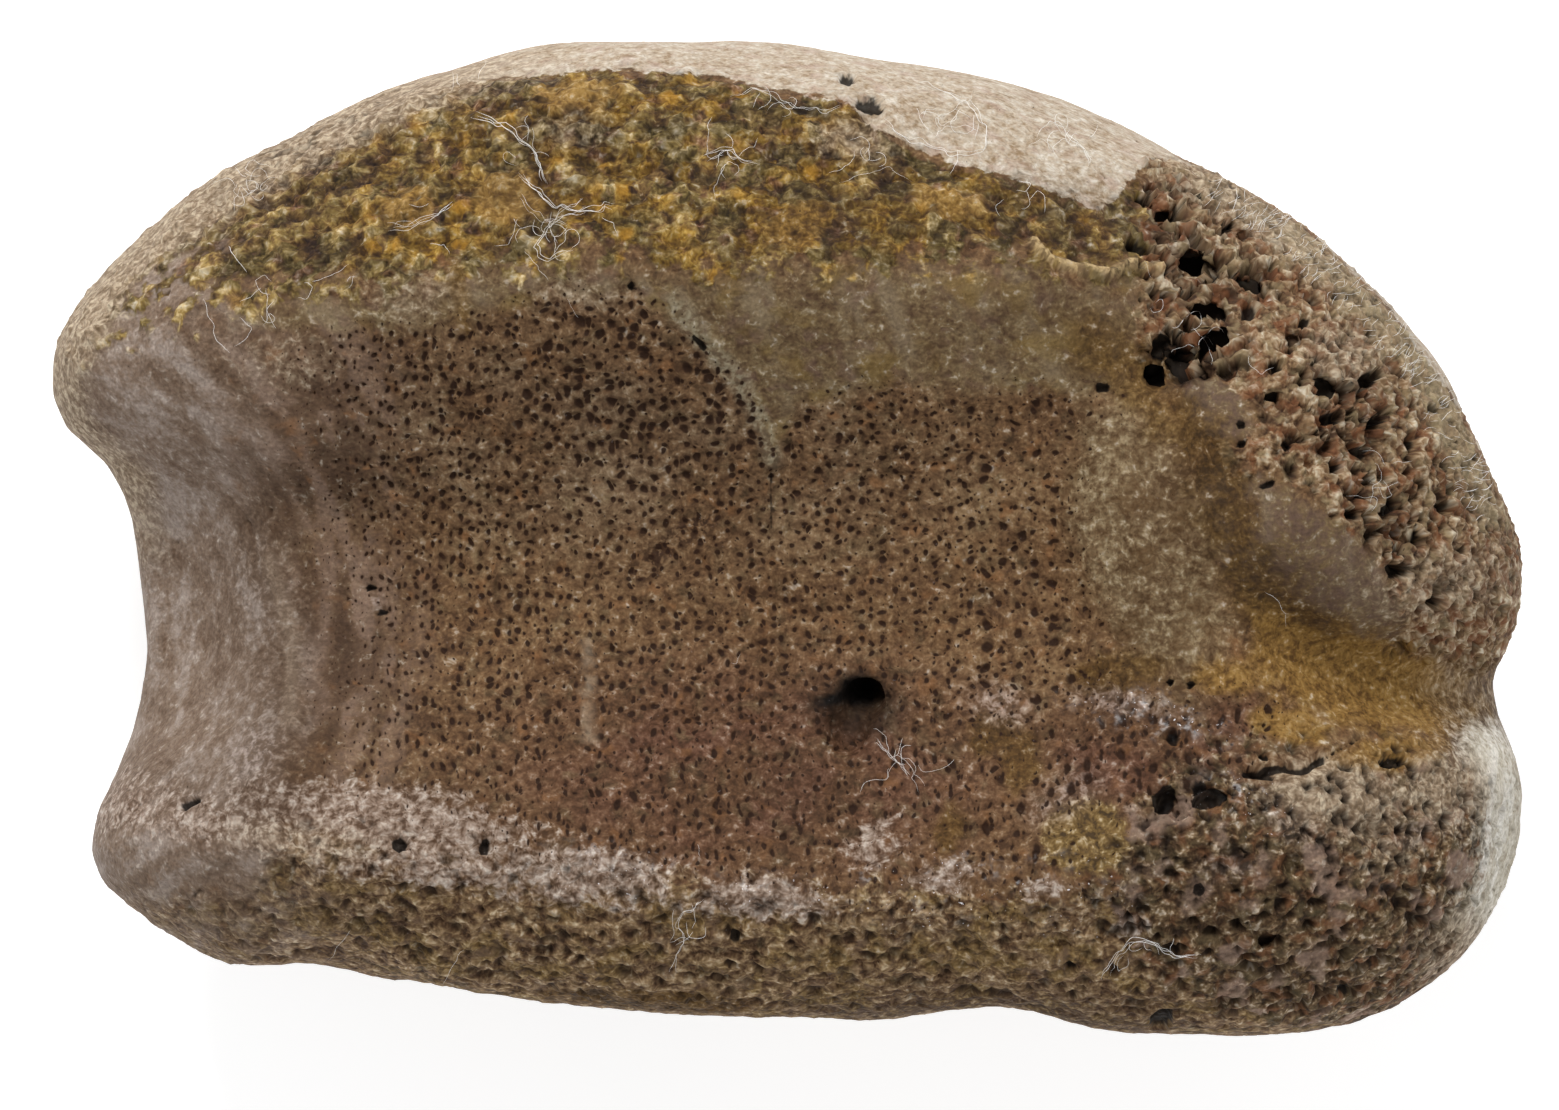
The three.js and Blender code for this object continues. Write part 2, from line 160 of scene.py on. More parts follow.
SPONGE_HOLES = [  # the black holes of the broken lobe
    (14.5, 6.7, 0.46, 0.3, 20), (12.75, 6.55, 0.3, 0.36, -20), (13.3, 6, 0.3, 0.38),
    (12.5, 5.5, 0.34, 0.26, -30), (14.2, 7.7, 0.42, 0.26, 10), (15.7, 7.7, 0.26, 0.3),
    (13.7, 9.4, 0.34, 0.3, 40), (14.4, 9, 0.34, 0.2), (15.7, 8.7, 0.3, 0.36),
    (12.9, 9.2, 0.24, 0.34), (11.9, 9.9, 0.4, 0.22, -30), (13, 10.9, 0.42, 0.24, -10),
    (12.1, 11.5, 0.3, 0.2, -20), (15, 10.6, 0.3, 0.2), (16.6, 5.9, 0.26, 0.18, -40),
    (18.3, 5.1, 0.36, 0.3), (19.8, 5.4, 0.4, 0.26, 40), (16.5, 4.8, 0.2, 0.16),
    (18.5, 4.1, 0.34, 0.22), (20.1, 4, 0.36, 0.2, 20), (21.2, 3.2, 0.24, 0.3),
    (18.6, 2.4, 0.22, 0.28, 20), (19.6, 2.9, 0.34, 0.2, -20), (20.6, 1.2, 0.3, 0.34),
    (19.2, 0.8, 0.3, 0.18), (21.4, 0, 0.24, 0.3), (20.8, -1.2, 0.34, 0.24, 20),
    (22.4, 1, 0.2, 0.24), (22, -2.2, 0.3, 0.2), (17.6, 7.4, 0.24, 0.16, 30),
]
# the foramen, and the funnel round it, both painted dark as shade
FORAMEN = [(2.43, -5.2, 0.74, 0.6), (1.6, -5.5, 0.6, 0.2, 18)]
FORAMEN_SLOPE = [(2.4, -5.8, 1.5, 1.1), (1.3, -5.6, 0.75, 0.36, 16)]
NOTCH = (-26.2, -3.1)  # the bone's streaks run round the notch of its waist

# Zones whose borders noise frays: how far it frays them, and how soft they stay.
FRAYED = {
    "joint": (1.4, 0.2), "band": (3, 0.4), "lobe": (2.4, 0.2), "low_lobe": (2, 0.25),
    "film": (2, 0.3), "mound": (2.4, 0.35), "proximal": (2.4, 0.3), "crust": (2, 0.5),
    "ochre_and_groove_shade": (2.6, 0.35), "amber": (2.6, 0.35), "wall": (1.2, 0.45),
}

# ---- Lint ----
# Each fibre: how many hairs it is made of, a hair's radius, and the points that it passes.
FIBRES = [
    (3, 0.02, [
        (-10.6, 14.4), (-10.1, 14.2), (-9.6, 14), (-9.2, 13.6), (-8.8, 13.3), (-8.6, 12.9),
        (-8.4, 12.6), (-8.3, 12.1),
    ]),
    (3, 0.02, [
        (-9.2, 12.3), (-8.7, 12), (-8.4, 11.7), (-8, 11.3), (-7.4, 11.1), (-7, 11.1), (-6.7, 11.3),
        (-5.9, 11.3),
    ]),
    (2, 0.018, [
        (-7, 11.1), (-7.4, 10.9), (-7.9, 10.8), (-8.2, 10.6), (-8.1, 10.4), (-8.4, 10.1),
        (-8.6, 9.8), (-8.5, 9.5), (-8, 9.4), (-7.6, 9.5), (-7.5, 9.8),
    ]),
    (2, 0.014, [
        (-9.1, 11.5), (-8.9, 11.1), (-8.6, 10.9), (-8.2, 10.8), (-7.7, 10.8), (-7.5, 10.5),
    ]),
    (2, 0.014, [(-8.2, 10.6), (-7.8, 10.9), (-7.3, 11.2), (-6.9, 11.4)]),
    (1, 0.014, [(-6.4, 10.7), (-6.1, 10.6), (-5.8, 10.5), (-5.7, 10.3)]),
    (3, 0.018, [
        (-13.4, 10.6), (-13, 10.5), (-12.6, 10.6), (-12.1, 10.9), (-11.7, 11.2), (-11.4, 11.4),
    ]),
    (2, 0.012, [(-11.3, 15.9), (-11.2, 15.6), (-11.2, 15.2)]),
    (1, 0.012, [(-10.4, 16.1), (-10.4, 15.8), (-10.4, 15.5)]),
    (1, 0.012, [(-15, 8.6), (-14.9, 8.9), (-14.7, 9), (-14.8, 8.7), (-15, 8.6)]),
    (1, 0.016, [(-19.9, 8), (-19.8, 7.5), (-19.5, 6.9), (-19, 6.2)]),
    (1, 0.014, [(-19.1, 9.9), (-18.8, 9.6), (-18.4, 9.2)]),
    (2, 0.018, [
        (3.3, 14.3), (3.7, 13.8), (4.2, 13.5), (4.9, 13.2), (5.8, 13.1), (6.5, 13), (6.8, 13.6),
        (6.7, 14.1), (6.4, 14.6), (5.9, 14.9), (5.4, 15.2), (4.7, 15.4), (4.2, 15.3),
    ]),
    (1, 0.012, [(6.6, 13.9), (6.1, 14.1), (5.4, 13.9), (5, 13.5)]),
    (3, 0.016, [
        (-2.8, 12.9), (-2.6, 13.1), (-2.2, 13.2), (-1.9, 13.2), (-1.5, 12.8), (-1.2, 12.7),
    ]),
    (1, 0.012, [(-2.6, 12.6), (-2.4, 12.9), (-2.1, 13.1), (-1.7, 12.9)]),
    (2, 0.012, [
        (-1.8, 15), (-1.3, 15.4), (-0.7, 15.2), (-0.2, 14.7), (0.5, 14.6), (1.4, 14.5), (1.9, 14.8),
    ]),
    (1, 0.013, [(1.7, 12), (2.4, 12.4), (3.1, 12.6), (3.7, 12.4), (4.2, 12.1)]),
    (2, 0.014, [
        (8.4, 13.7), (8.6, 14.1), (8.9, 14.3), (9.3, 13.9), (9.5, 13.7), (9.8, 13.5), (10.1, 13.1),
        (10.3, 12.6),
    ]),
    (1, 0.012, [(8, 13.3), (8.4, 13.5), (8.8, 13.5), (9.3, 13.2)]),
    (3, 0.014, [
        (10.7, -14.9), (11.1, -14.5), (11.4, -14), (11.8, -13.7), (12.3, -13.8), (12.9, -14.1),
        (13.4, -14.2), (13.9, -14.2),
    ]),
    (1, 0.010, [(16.3, -1.8), (16.8, -2.2), (16.9, -2.6), (16.8, -3)]),
    (3, 0.012, [(3, -6.8), (3.3, -7.1), (3.6, -7.5), (4, -7.8), (4.2, -8.2)]),
    (2, 0.010, [(3.6, -7.3), (4, -7.6), (4.3, -8), (4.5, -8.6)]),
    (1, 0.010, [(3.1, -8.2), (3.5, -7.9), (3.7, -7.6)]),
    (2, 0.013, [
        (-2.9, -12.3), (-3.3, -12.6), (-3.7, -12.9), (-3.8, -13.2), (-3.4, -13.5), (-3.5, -13.8),
        (-3.7, -14.1), (-4, -14.7),
    ]),
    (1, 0.010, [(-3.2, -10.3), (-3.1, -10.5), (-2.9, -10.8)]),
    (1, 0.012, [(-11.6, -15), (-11.5, -14.6), (-11.3, -14.2), (-11, -14.1)]),
    (1, 0.012, [(-15.6, -14.3), (-15.2, -13.9), (-15, -13.6)]),
    (1, 0.008, [(-2.1, -4.3), (-1.8, -4.2), (-1.6, -4)]),
    (1, 0.010, [(12, 9.4), (12.2, 9.1), (12.4, 8.8)]),
    (1, 0.010, [(-7.5, 8.1), (-7.3, 7.9), (-7.1, 7.5)]),
]
HAIR_LINE = [  # along the rim
    (14.4, 12.1), (16.1, 11.1), (17.2, 10.2), (18.7, 8.9), (20.5, 7.1), (21.7, 5.7), (23, 2.7),
    (23.9, 0.8),
]
TUFTS = [  # where loose curls of lint gather: x, y, spread and count
    (-8, 10.4, 1.2, 12), (5.4, 14.2, 1.2, 12), (-2.2, 12.9, 0.6, 7), (9.4, 13.9, 0.7, 6),
    (-18.2, 12, 0.6, 12), (-12.5, 10.7, 0.7, 4), (3.7, -7.6, 0.6, 6), (-3.5, -13.3, 0.7, 5),
    (-17.6, 8.2, 1.6, 8), (2.6, 12.8, 1, 5), (-0.6, 15, 0.8, 4), (12, -14, 0.8, 4), (14, 7, 1.6, 9),
    (20.4, 1.8, 1.4, 7), (8, 11.4, 1, 4), (-9, 13.4, 0.6, 5),
]
HAIRS = 230
HAIR_RADIUS = 0.005
FIBRE_STEP = 0.08  # between the points of a fibre
FIBRE_SIDES = 5
SHORTEST_FIBRE = 4  # points
# How far a path wanders, and how slowly: more passes smooth its wander more.
FIBRE_KINKS = (0.04, 4)
PLY_WANDER = (0.06, 24)
CURL_KINKS = (0.03, 3)


# ---- Masks: arrays of 0 to 1 over the skin's points ----
def smoothstep(low, high, value):
    t = np.clip((value - low) / (high - low), 0, 1)
    return t * t * (3 - 2 * t)


def side(distance, reach):
    """A straight ramp from 0 to 1 across a border, over reach on each side of it."""
    return np.clip(0.5 + 0.5 * distance / reach, 0, 1)


def both(*masks):
    return np.minimum.reduce(masks)


def either(*masks):
    return np.maximum.reduce(masks)


def seen_from_above(points):
    """Where each point shows, on the plane of the widest line."""
    spread = VIEW_HEIGHT / (VIEW_HEIGHT - (points[:, 2:] - RIM))
    return VIEW_CENTRE + (points[:, :2] - VIEW_CENTRE) * spread


def patch(seen, centre_x, centre_y, radius_x, radius_y, turn=0, soft=0.5):
    """1 inside an ellipse turned by turn degrees, fading to 0 over a soft share of its radii."""
    angle = math.radians(turn)
    x, y = (seen - (centre_x, centre_y)).T
    u = (x * math.cos(angle) + y * math.sin(angle)) / radius_x
    v = (y * math.cos(angle) - x * math.sin(angle)) / radius_y
    return 1 - smoothstep(1 - soft, 1 + soft, np.hypot(u, v))


def above(seen, line):
    """Height over a line that runs from left to right."""
    line_x, line_y = np.transpose(line)
    return seen[:, 1] - np.interp(seen[:, 0], line_x, line_y)


def right_of(seen, line):
    """Distance to the right of a line that runs downwards."""
    line_x, line_y = np.transpose(line[::-1])
    return seen[:, 0] - np.interp(seen[:, 1], line_y, line_x)


def along(seen, line, half_width, soft=0.5):
    """1 near a bent line, fading to 0 at about half_width."""
    nearest = np.full(len(seen), np.inf)
    for start, end in zip(line, line[1:]):
        run = np.subtract(end, start)
        t = np.clip((seen - start) @ run / (run @ run), 0, 1)
        gap = seen - start - t[:, None] * run
        nearest = np.minimum(nearest, np.hypot(gap[:, 0], gap[:, 1]))
    return 1 - smoothstep(half_width * (1 - soft), half_width * (1 + soft), nearest)


def skin_masks(points, normals):
    """Where each kind of surface lies on the bone, by name."""
    seen = seen_from_above(points)
    x, y = seen.T
    depth = RIM - points[:, 2]
    upper = 1 - smoothstep(0.2, 3, depth)
    facing_up = smoothstep(0.1, 0.5, normals[:, 2])
    open_up = smoothstep(0.02, 0.22, normals[:, 2])

    def spot(*ellipse, soft=0.5):
        return patch(seen, *ellipse, soft=soft)

    def spots(ellipses, soft=0.5):
        return either(*[spot(*ellipse, soft=soft) for ellipse in ellipses])

    def stretches(ellipses):
        return either(*[share * spot(*ellipse, soft=0.8) for share, *ellipse in ellipses])

    def line(knots, half_width, soft=0.5):
        return along(seen, knots, half_width, soft)

    # how far each point lies past the main borders
    above_band = above(seen, BAND_FOOT)
    above_film = above(seen, FILM_FOOT)
    above_ridge = above(seen, RIDGE)
    past_crease = right_of(seen, CREASE)

    # the joint surface, and the worn band beside it
    below = smoothstep(0, 9, depth)
    rim_border = np.interp(x, [-20, 20], [8.3, 2])
    distal_under = side(y - rim_border * (1 - below) - 4.5 * below, 1.2)
    joint = upper * side(above(seen, JOINT_BORDER), 0.5) + (1 - upper) * distal_under
    left_half = side(12 - x, 0.6)
    band = both(side(above_band, 1.5), upper, left_half, 1 - joint)
    band *= 0.5 + 0.5 * smoothstep(-24, -14, x)

    # the two broken lobes
    inner_flat = either(spot(17.4, -0.9, 4.4, 2.1, -40, soft=0.4), spot(14.6, 4.4, 1.5, 0.9, -40))
    lobe = both(side(above(seen, GROOVE) - 1, 1), side(x - 11.9, 0.5), upper)
    lobe = both(lobe, 1 - inner_flat, 1 - joint)
    low_lobe = upper * spot(18.4, -11.6, 7.6, 5, soft=0.35)
    low_lobe *= 1 - 0.8 * line(CRACK, 0.5)

    # the dish with its film, crust and pores
    film = both(side(above_film, 0.5), side(-above_band, 1.5), left_half)
    film = either(film, both(inner_flat, 1 - joint))
    mound = upper * spot(12.3, -0.2, 2.4, 5.2, 14)
    in_dish = both(side(-above_film, 0.6), side(above_ridge - 0.4, 1), side(11 - x, 1.2))
    in_dish = both(in_dish, side(past_crease - 1.2, 2.4))
    ridge = line(RIDGE[:7], 1.1, soft=0.8) * (1 - 0.6 * smoothstep(-9, -2, x))
    crust = upper * either(spots(CRUST, soft=0.8), 0.7 * ridge)
    pored = facing_up * upper * both(in_dish, 1 - mound) * smoothstep(-20, -12, x)
    pored *= 1 - 0.85 * crust
    pored *= 1 - 0.7 * spots(OCHRE[:2] + YELLOW_PATCH, soft=0.4)
    porous_right = facing_up * spot(12.2, -7.4, 3.6, 1.9, -10, soft=0.4)
    porous_right = either(porous_right, 0.9 * spot(15.4, -6, 1.7, 0.9, soft=0.4))
    wide_pores = either(smoothstep(1.5, 7, x), porous_right, 0.8 * spot(-1.3, -9, 9, 2.6))

    # the waist's wall with its knobs, and the proximal side
    wall = side(-past_crease + 0.4, np.interp(y, [-3, 2], [0.9, 2.6]))
    wall = wall * smoothstep(-14.5, -10.5, y)
    knob = spot(-23.6, 5.6, 3.4, 4.4, soft=0.7)
    low_knob = spot(-21, -12.2, 6, 3, -15, soft=0.7)
    wall = either(wall, knob, 0.45 * low_knob) * (1 - smoothstep(2, 9, depth))
    under = (1 - upper) * (1 - distal_under)
    end_patch = 1 - smoothstep(2.4, 5.6, np.hypot(y + 9.8, 0.8 * np.maximum(depth + 1.5, 0)))

    masks = {
        "joint": joint, "band": band, "lobe": lobe, "low_lobe": low_lobe, "mound": mound,
        "wall": wall, "facing": facing_up, "wide_pores": wide_pores,
        "pored": either(pored, porous_right),
        "bold_pores": either(spot(-5, 6, 8.5, 3.6, soft=0.7), 0.9 * wide_pores),
        "crust": crust * (1 - 0.35 * smoothstep(-2, 3, x)),
        "under": under * (1 - 0.6 * wall),
        "proximal": either(side(-above_ridge + 0.5, 1.2), under) * (1 - 0.7 * wall),
        # dust on the lobe's rim, partly a painted highlight where the rim catches light
        "rim_dust_and_highlight": open_up * line(HAIR_LINE, 0.5, soft=0.9),
        # the painted highlight along the pale right end
        "end_highlight": end_patch * either(
            line(LIT_END_EDGE, 0.95, soft=0.95),
            0.45 * spot(23.4, -6, 1.3, 1.2),
            0.35 * line(LIT_END_EDGE, 1.6, soft=0.9),
        ),
    }
    on_top = {
        "film": film,
        "lilac": inner_flat,
        "deep": either(
            spot(13.8, 6.4, 1.8, 1.2, 20),
            0.8 * spot(13, 10.6, 1.5, 1.4, -30),
            0.8 * spot(14.4, 8.6, 1.9, 1.2),
            0.5 * spot(18.9, 4.4, 1.9, 1.4, -50),
            0.5 * spot(20.6, 0.6, 1.5, 1.6),
        ),
        "dusk": either(
            spot(-15.2, -3.8, 2.4, 4.8, soft=0.7), spot(-16.6, 3.2, 3.2, 4.2, soft=0.7)
        ),
        # dust and bleaching, with painted sheen and painted light on the rims
        "dust_and_sheen": either(
            stretches(SHEEN_AND_DUST),
            0.95 * line(LIT_RIM_WITH_DUST, 0.85, soft=0.8) * side(y, 3.5) * side(-9.5 - x, 4),
            0.8 * line(LOBE_RIM, 0.8, soft=0.8) * side(x - 13, 2) * side(17.5 - x, 3.5),
        ),
        # darker stretches, with painted shade along the bottom edge and beside the crease
        "darker_and_shaded": open_up * either(stretches(DARKER_AND_SHADED), 0.4 * line(CREASE[2:], 1.5, soft=0.7)),
        "red": either(spot(-1.3, -8, 8.6, 3.8, soft=0.6), porous_right),
        # painted shade on the dish's upper part
        "shade": spot(-6, 3.6, 10.5, 4, -4, soft=0.8),
        # ochre sediment, darker along the groove as painted shade
        "ochre_and_groove_shade": either(0.8 * line(GROOVE, 1.1, soft=0.7), open_up * spots(OCHRE)),
        "amber": either(spot(19.6, -4.9, 4, 1.5, -14), open_up * spots(AMBER)),
        "yellow": spots(YELLOW_PATCH),
        "golden": either(spot(-1.5, 12.5, 12, 4.5, soft=0.6), spot(-12.4, 10.6, 2.6, 2.2)),
        "glints": spots(GLINTS, soft=0.6),
        "pale": spots(PALE_AND_SHEEN_SPOTS, soft=0.8),
        "pits": open_up * spots(PITS),
        "sponge_holes": open_up * spots(SPONGE_HOLES, soft=0.45),
        "foramen": spots(FORAMEN, soft=0.35),
        "slope": spots(FORAMEN_SLOPE),
        "rim_film": line(FILM_EDGE, 0.3, soft=0.6),
        # a painted highlight along the crease's ridge
        "crease": line(CREASE[2:5], 0.24, soft=0.8),
        "ledge": line(LEDGE, 0.16),
        "crack": either(
            line(CRACK[:4], 0.12), 0.75 * line(CRACK[3:], 0.06), 0.6 * line(HAIRLINE, 0.1)
        ),
        "scratch": line(SCRATCH, 0.14),
        "fold": line(DISH_FOLD, 0.35),
    }
    masks.update({name: upper * mask for name, mask in on_top.items()})
    return masks


def pore_grain(points):
    """Flat coordinates that space the dish's pores: finer to the left, longer at its foot."""
    x, y = seen_from_above(points).T
    u = x - 0.018 * np.minimum(x + 6, 0) ** 2
    v = y + 0.36 * np.log1p(np.exp(-(y + 6.5) / 0.8)) * 0.8
    return np.stack([u, v, np.zeros(len(points))], axis=1)


def streak_flow(points):
    """Flat coordinates across and along the streaks, which run round the waist's notch."""
    x, y = (seen_from_above(points) - NOTCH).T
    return np.stack([np.hypot(x, y), 2.5 * np.arctan2(y, x), 0.15 * points[:, 2]], axis=1)


# ---- Node trees ----
class Field:
    """A value that varies over the surface; sums with numbers or other fields add nodes."""

    def __init__(self, n, socket):
        self.n = n
        self.socket = socket

    def __add__(self, other):
        return self.n.math("ADD", self, other)

    def __radd__(self, other):
        return self.n.math("ADD", other, self)

    def __sub__(self, other):
        return self.n.math("SUBTRACT", self, other)

    def __rsub__(self, other):
        return self.n.math("SUBTRACT", other, self)

    def __mul__(self, other):
        return self.n.math("MULTIPLY", self, other)

    def __truediv__(self, other):
        return self.n.math("DIVIDE", self, other)


class Nodes:
    """Adds nodes to a shader or geometry tree; inputs may be fields or plain values."""

    def __init__(self, tree):
        self.tree = tree
        self.is_shader = tree.bl_idname == "ShaderNodeTree"
        self.known = {}

    def add(self, kind, inputs=(), **settings):
        node = self.tree.nodes.new(kind)
        for name, value in settings.items():
            setattr(node, name, value)
        for name, value in dict(inputs).items():
            self.put(node.inputs[name], value)
        return node

    def put(self, socket, value):
        if isinstance(value, Field):
            self.tree.links.new(value.socket, socket)
        else:
            socket.default_value = value

    def field(self, kind, inputs=(), output=0, **settings):
        return Field(self, self.add(kind, inputs, **settings).outputs[output])

    def zone(self, name, is_vector=False):
        """The value of this name on the bone's points."""
        if name not in self.known:
            if self.is_shader:
                output = "Vector" if is_vector else "Fac"
                field = self.field("ShaderNodeAttribute", output=output, attribute_name=name)
            else:
                kind = "FLOAT_VECTOR" if is_vector else "FLOAT"
                node = self.add("GeometryNodeInputNamedAttribute", {"Name": name}, data_type=kind)
                field = Field(self, node.outputs["Attribute"])
            self.known[name] = field
        return self.known[name]

    def math(self, operation, a, b):
        return self.field("ShaderNodeMath", {0: a, 1: b}, operation=operation)

    def most(self, a, b):
        return self.math("MAXIMUM", a, b)

    def vector(self, operation, a, b):
        """Vector maths; b is one number if the operation is SCALE."""
        second = "Scale" if operation == "SCALE" else 1
        return self.field("ShaderNodeVectorMath", {0: a, second: b}, operation=operation)

    def step(self, value, low, high, out_low=0, out_high=1):
        """out_low below low, out_high above high, and smooth between."""
        inputs = {"Value": value, "From Min": low, "From Max": high}
        inputs.update({"To Min": out_low, "To Max": out_high})
        return self.field("ShaderNodeMapRange", inputs, interpolation_type="SMOOTHSTEP")

    def noise(self, at, per_mm, detail=2, roughness=0.5, output=0):
        inputs = {"Vector": at, "Scale": per_mm, "Detail": detail, "Roughness": roughness}
        return self.field("ShaderNodeTexNoise", inputs, output, noise_dimensions="3D")

    def cells(self, at, per_mm, dimensions="3D", randomness=1):
        """Scattered cells: a random number for each, and the distance from its middle."""
        inputs = {"Vector": at, "Scale": per_mm, "Randomness": randomness}
        node = self.add("ShaderNodeTexVoronoi", inputs, voronoi_dimensions=dimensions)
        random_colour = Field(self, node.outputs["Color"])
        chance = self.field("ShaderNodeSeparateXYZ", {0: random_colour})
        return chance, Field(self, node.outputs["Distance"])

    def keep(self, surface, name, value, kind="FLOAT"):
        """The surface with one more value stored on its points."""
        inputs = {"Geometry": surface, "Name": name, "Value": value}
        return self.field("GeometryNodeStoreNamedAttribute", inputs, data_type=kind)

    def jolt(self, at, per_mm, reach):
        """Coordinates shaken by noise, so that no pattern runs straight."""
        shake = self.vector("SUBTRACT", self.noise(at, per_mm, output="Color"), (0.5, 0.5, 0.5))
        return self.vector("ADD", at, self.vector("SCALE", shake, reach))

    def mix(self, share, a, b, blend="MIX"):
        inputs = {"Factor": share, 6: a, 7: b}
        return self.field("ShaderNodeMix", inputs, 2, data_type="RGBA", blend_type=blend)

    def ramp(self, value, stops):
        node = self.add("ShaderNodeValToRGB", {"Fac": value})
        elements = node.color_ramp.elements
        while len(elements) < len(stops):
            elements.new(0.5)
        for element, (position, colour) in zip(elements, stops):
            element.position = position
            element.color = colour
        return Field(self, node.outputs["Color"])


class Skin:
    """The fine patterns that the bone's relief and its colours both follow, in one node tree."""

    def __init__(self, n):
        self.n = n
        self.rest = n.zone("rest", is_vector=True)
        self.warp = n.zone("warp", is_vector=True)
        self.clumps = n.zone("clumps")
        self.grit = n.noise(self.warp, 3, detail=2, roughness=0.6)
        self.ragged = self.grit - 0.5
        worn = n.zone("worn") + self.ragged * 0.08
        self.cortex = n.step(worn, 0.49, 0.55) * n.zone("under")
        self.pores, self.pore_rims = self.find_pores()

    def jagged(self, name):
        """A mask of holes with jagged edges."""
        return self.n.step(self.n.zone(name) + self.ragged, 0.35, 0.65)

    def find_pores(self):
        """Blood-vessel pores of the dish, many small and some wide, and the rims round them."""
        n = self.n
        grain = n.zone("grain", is_vector=True)
        wide = n.zone("wide_pores")
        bold = 0.72 + n.zone("bold_pores") * 0.33
        small = (2.7, 0, (1 - wide * 0.55) * 0.48)
        large = (1.75, 0.2, wide * 0.31)
        pores = []
        rims = []
        for per_mm, least, largest in (small, large):
            chance, distance = n.cells(grain, per_mm, "2D", randomness=0.9)
            size = (0.2 + n.step(chance, least, 1) * 0.8) * largest * bold
            size = size * n.zone("pored") + 0.002
            ratio = (distance + self.ragged * 0.16) / size
            pores.append(n.step(ratio, 0.6, 1.1, 1, 0))
            rims.append(n.step(ratio, 1, 2, 1, 0))
        return n.most(*pores), n.most(*rims)

    def find_holes(self):
        """Irregular holes of the coarse, broken-open tissue, and the rims round them."""
        n = self.n
        chance, distance = n.cells(self.warp, 2.2)
        size = n.step(chance, 0.1, 1, 0.06, 0.46) * n.step(self.clumps, 0.4, 0.6, 1.25, 0.75)
        size = size * (1 + n.zone("deep") * 0.7) * (1 + n.zone("low_lobe") * 0.15)
        ratio = (distance + self.ragged * 0.5) / size
        return n.step(ratio, 0.65, 1.2, 1, 0), n.step(ratio, 1.1, 1.9, 1, 0)


def relief_height(skin):
    """How far the skin stands out, in millimetres."""
    n = skin.n
    zone = n.zone
    lumps = skin.ragged * 0.4 + (skin.clumps - 0.5) * 0.8
    coarse = zone("proximal") * (1 - skin.cortex * 0.8)
    height = (n.noise(skin.rest, 0.45, detail=3) - 0.5) * 0.35
    height += zone("band") * lumps
    height += n.most(coarse, zone("low_lobe")) * (lumps * 0.6)
    height += skin.ragged * 0.12
    for name, rise in (("ledge", 0.3), ("crease", 0.12), ("rim_film", 0.08)):
        height += zone(name) * rise

    crumbs = skin.ragged * 0.85 + (skin.clumps - 0.5) * 0.45
    hollow = zone("holes") * (0.3 + zone("deep") * 0.5)
    height += zone("lobe") * (crumbs - hollow)
    height -= zone("holes") * (zone("low_lobe") * 0.22 + coarse * 0.12)
    height *= 0.4 + zone("facing") * 0.6
    height -= skin.pores * 0.13
    for name, depth in (("pits", 0.3), ("sponge_holes", 0.6), ("crack", 0.25)):
        height -= skin.jagged(name) * depth
    return height


def relief_tree():
    """Moves the skin by its relief, and stores on it the slow patterns that its colours follow."""
    tree = bpy.data.node_groups.new("bone_relief", "GeometryNodeTree")
    for direction in ("INPUT", "OUTPUT"):
        tree.interface.new_socket("Geometry", in_out=direction, socket_type="NodeSocketGeometry")
    n = Nodes(tree)
    rest = n.zone("rest", is_vector=True)
    warp = n.jolt(rest, 1.7, 0.5)
    cobble, cobble_edge = n.cells(warp, 1.3)
    patterns = {
        "fray": n.noise(rest, 1.3, detail=4, roughness=0.62) - 0.5,
        "broad": n.noise(rest, 0.4, detail=3),
        "stain": n.noise(rest, 0.75, detail=3),
        "clumps": n.noise(warp, 1.3, detail=3, roughness=0.55),
        "streaks": n.noise(n.zone("flow", is_vector=True), 1.4, detail=3, roughness=0.6),
        "worn": n.noise(rest, 0.13, detail=2),
        "tinge": n.noise(rest, 1.9, detail=2),
        "cobble": cobble,
        "cobble_edge": cobble_edge,
    }
    surface = n.field("NodeGroupInput")
    for name, value in patterns.items():
        surface = n.keep(surface, name, value)
    grain = n.jolt(n.zone("grain", is_vector=True), 1.8, 0.55)
    for name, value in (("warp", warp), ("grain", grain)):
        surface = n.keep(surface, name, value, "FLOAT_VECTOR")
    for name, (reach, blur) in FRAYED.items():
        mask = n.zone(name)
        near_border = mask * (1 - mask) * (4 * reach)
        frayed = mask + n.zone("fray") * near_border
        surface = n.keep(surface, name, n.step(frayed, 0.5 - blur, 0.5 + blur))

    skin = Skin(n)
    for name, value in zip(("holes", "hole_rims"), skin.find_holes()):
        surface = n.keep(surface, name, value)
    normal = n.field("GeometryNodeInputNormal", output="Normal")
    raised = n.vector("SCALE", normal, relief_height(skin))
    shaken = n.vector("SUBTRACT", n.jolt(rest, 2.4, 0.9), rest)
    crumbled = n.vector("SCALE", shaken, n.zone("deep"))
    inputs = {"Geometry": surface, "Offset": n.vector("ADD", raised, crumbled)}
    n.add("NodeGroupOutput", {0: n.field("GeometryNodeSetPosition", inputs)})
    return tree


# ---- Meshes ----
def read_points(mesh, field="vertices", what="co"):
    items = getattr(mesh, field)
    flat = np.empty(len(items) * 3, np.float32)
    items.foreach_get(what, flat)
    return flat.reshape(-1, 3).astype(float)


def write_points(mesh, points):
    mesh.vertices.foreach_set("co", np.asarray(points, np.float32).ravel())
    mesh.update()


